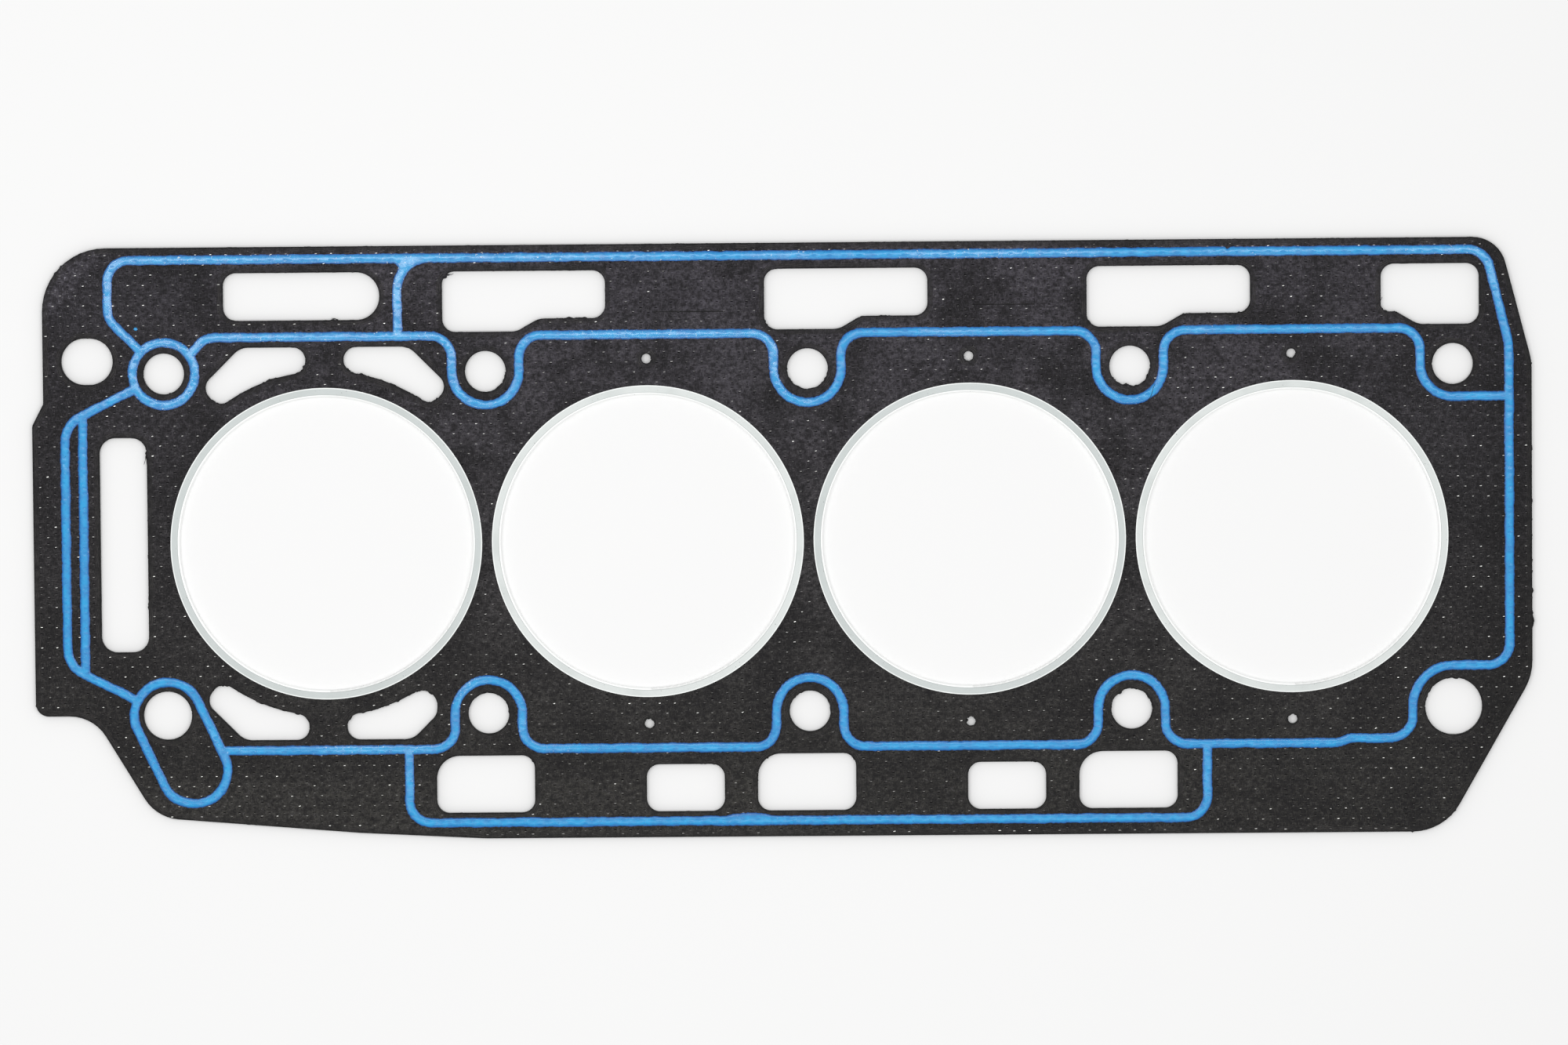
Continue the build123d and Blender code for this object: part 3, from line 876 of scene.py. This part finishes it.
def torn_slivers(material):
    """Thin slivers of fibre that stand off the cut edges."""
    mesh = bmesh.new()
    for root_x, root_y, tip_x, tip_y, width in slivers:
        root = Vector((root_x, root_y, 0)) * mm
        along = Vector((tip_x, tip_y, 0)) * mm - root
        spot = root + along / 2
        spot.z = top_face - sliver_depth
        lie = Vector((0, 0, 1)).rotation_difference(along).to_matrix().to_4x4()
        bmesh.ops.create_cone(
            mesh,
            cap_ends=True,
            cap_tris=True,
            segments=8,
            radius1=width / 2 * mm,
            radius2=sliver_point,
            depth=along.length,
            matrix=Matrix.Translation(spot) @ Matrix.Diagonal((1, 1, sliver_flatness, 1)) @ lie,
        )
    bmesh.ops.recalc_face_normals(mesh, faces=mesh.faces)
    long_edges = [edge for edge in mesh.edges if edge.calc_length() > sliver_long_edge]
    bmesh.ops.subdivide_edges(mesh, edges=long_edges, cuts=sliver_cuts)
    for vertex in mesh.verts:
        vertex.co += wander(vertex.co, sliver_curl_size, sliver_seed) * sliver_curl * mm
    return finished(mesh, "torn_slivers", material)


def pressed_pads(material):
    """Two low bare pads on the upper face, with a painted shadow at their foot, wider along their edge
    towards -Y.
    """
    mesh = bmesh.new()
    rim = mesh.verts.layers.float.new("rim")
    for low_x, low_y, high_x, high_y in pads:
        middle_z = top_face + (pad_height - pad_sink) / 2
        middle = Vector(((low_x + high_x) / 2 * mm, (low_y + high_y) / 2 * mm, middle_z))
        size = Matrix.Diagonal(((high_x - low_x) * mm, (high_y - low_y) * mm, pad_height + pad_sink, 1))
        made = bmesh.ops.create_cube(mesh, size=1.0, matrix=Matrix.Translation(middle) @ size)["verts"]
        upper = [edge for edge in mesh.edges if all(v in made and v.co.z > top_face for v in edge.verts)]
        bmesh.ops.bevel(
            mesh, geom=upper, offset=pad_edge, affect="EDGES", segments=2, profile=0.5, material=-1
        )
    for vertex in mesh.verts:
        # Painted shadow at the foot of each pad, stretched out on the -Y side
        if vertex.co.z < top_face + pad_foot_height:
            vertex[rim] = pad_shadow_rim
            off_low_edge = min(abs(vertex.co.y - low_y * mm) for _, low_y, _, _ in pads)
            vertex.co.y -= pad_shadow_reach if off_low_edge < face_tolerance else 0.0
    return finished(mesh, "pressed_pads", material)


def silicone_drop(material):
    """A stray drop of silicone on the upper face."""
    mesh = bmesh.new()
    crown = mesh.verts.layers.float.new("crown")
    place = Matrix.Translation((drop_place[0] * mm, drop_place[1] * mm, top_face))
    matrix = place @ Matrix.Diagonal((*drop_shape, 1))
    bmesh.ops.create_uvsphere(mesh, u_segments=20, v_segments=10, radius=drop_radius * mm, matrix=matrix)
    for vertex in mesh.verts:
        vertex[crown] = drop_crown
        vertex.co += wander(vertex.co, drop_wander_size * mm, drop_seed) * drop_wander * mm
    return finished(mesh, "silicone_drop", material, smooth=True)


def loose_hair(bead, material):
    """A dark fibre that lies across the upper bead."""
    mesh = bmesh.new()
    root, tip = (Vector((x * mm, y * mm, top_face)) for x, y in (hair_root, hair_tip))
    along = tip - root
    lie = Vector((0, 0, 1)).rotation_difference(along).to_matrix().to_4x4()
    bmesh.ops.create_cone(
        mesh,
        cap_ends=True,
        segments=6,
        radius1=hair_width / 2 * mm,
        radius2=hair_width / 4 * mm,
        depth=along.length,
        matrix=Matrix.Translation((root + tip) / 2) @ lie,
    )
    long_edges = [edge for edge in mesh.edges if edge.calc_length() > hair_long_edge * mm]
    bmesh.ops.subdivide_edges(mesh, edges=long_edges, cuts=hair_cuts)
    dome = BVHTree.FromObject(bead, bpy.context.evaluated_depsgraph_get())
    bend = Vector((along.y, -along.x, 0)).normalized() * hair_bend * mm
    for vertex in mesh.verts:
        share = (vertex.co - root).dot(along) / along.length_squared
        vertex.co += bend * math.sin(share * hair_turn)
        start = Vector((vertex.co.x, vertex.co.y, top_face + look_height))
        hit = dome.ray_cast(start, Vector((0, 0, -1)))[0]
        if hit is not None:
            vertex.co.z += hit.z - top_face
    return finished(mesh, "loose_hair", material, smooth=True)


def lamp(name, place, length, width, power):
    """A soft strip lamp along X that looks at the middle of the gasket."""
    data = bpy.data.lights.new(name, "AREA")
    data.shape = "RECTANGLE"
    data.size = length
    data.size_y = width
    data.energy = power
    made = bpy.data.objects.new(name, data)
    made.location = place
    made.rotation_euler = (math.atan2(place[1], place[2]), -math.atan2(place[0], place[2]), 0)
    bpy.context.scene.collection.objects.link(made)


# Camera
camera_data = bpy.data.cameras.new("camera")
camera_data.sensor_width = sensor_width
camera_data.lens = sensor_width * view_distance / view_width
camera_data.clip_start = near_clip
camera = bpy.data.objects.new("camera", camera_data)
camera.location = view_centre + view_lean * view_distance
back = view_lean.normalized()
right = Vector((0, 1, 0)).cross(back).normalized()
look = Matrix((right, back.cross(right), back)).transposed()
camera.rotation_euler = (look @ Matrix.Rotation(view_roll, 3, "Z")).to_euler()
bpy.context.scene.collection.objects.link(camera)
bpy.context.scene.camera = camera

# Finishes
fibre = facing_fibre()
silicone = blue_silicone()
plated = ring_steel()
bare = core_steel()
prong = tang_steel()

# Gasket
top_sheet = facing_sheet("facing_top", 1, fibre)
under_sheet = facing_sheet("facing_bottom", -1, fibre)
top_bead = bead_run("bead_top", 1, silicone)
under_bead = bead_run("bead_bottom", -1, silicone)
tang_tips("tang_tips_top", 1, top_sheet, top_bead, prong)
tang_tips("tang_tips_bottom", -1, under_sheet, under_bead, prong)
torn_slivers(fibre)
pressed_pads(fibre)
silicone_drop(silicone)
loose_hair(top_bead, fibre)
for number in range(1, 5):
    frame["nodes"][f"fire_ring_{number}"].material_slots[0].material = plated
frame["nodes"]["steel_core"].material_slots[0].material = bare

# Floor
floor_mesh = bmesh.new()
bmesh.ops.create_grid(floor_mesh, x_segments=1, y_segments=1, size=floor_half_side)
bmesh.ops.translate(floor_mesh, verts=floor_mesh.verts, vec=(0, 0, -floor_drop))
floor_data = bpy.data.meshes.new("floor")
floor_mesh.to_mesh(floor_data)
floor_mesh.free()
floor = bpy.data.objects.new("floor", floor_data)
bpy.context.scene.collection.objects.link(floor)
paper_constants = {"Base Color": floor_white, "Specular IOR Level": 0.0, "Emission Strength": 1.0}
paper, paper_shader, paper_start = finish("floor", paper_constants)
feed(paper_shader, Emission_Color=paper_start.node("LightPath", {}, output="Is Camera Ray") * floor_glow)
floor_data.materials.append(paper)

# Sky
world = bpy.data.worlds.new("world")
bpy.context.scene.world = world
world.use_nodes = True
backdrop = world.node_tree.nodes["Background"]
backdrop.inputs["Color"].default_value = sky_white
sky = Wire(world.node_tree)
seen = sky.node("LightPath", {}, output="Is Camera Ray")
mirrored = sky.node("LightPath", {}, output="Is Glossy Ray")
strength = sky_level + seen.maths("MAXIMUM", seen, mirrored) * (1 - sky_level)
world.node_tree.links.new(strength.socket, backdrop.inputs["Strength"])

# Lamps
for lamp_setting in lamps:
    lamp(*lamp_setting)

bpy.context.scene.view_settings.view_transform = "Standard"
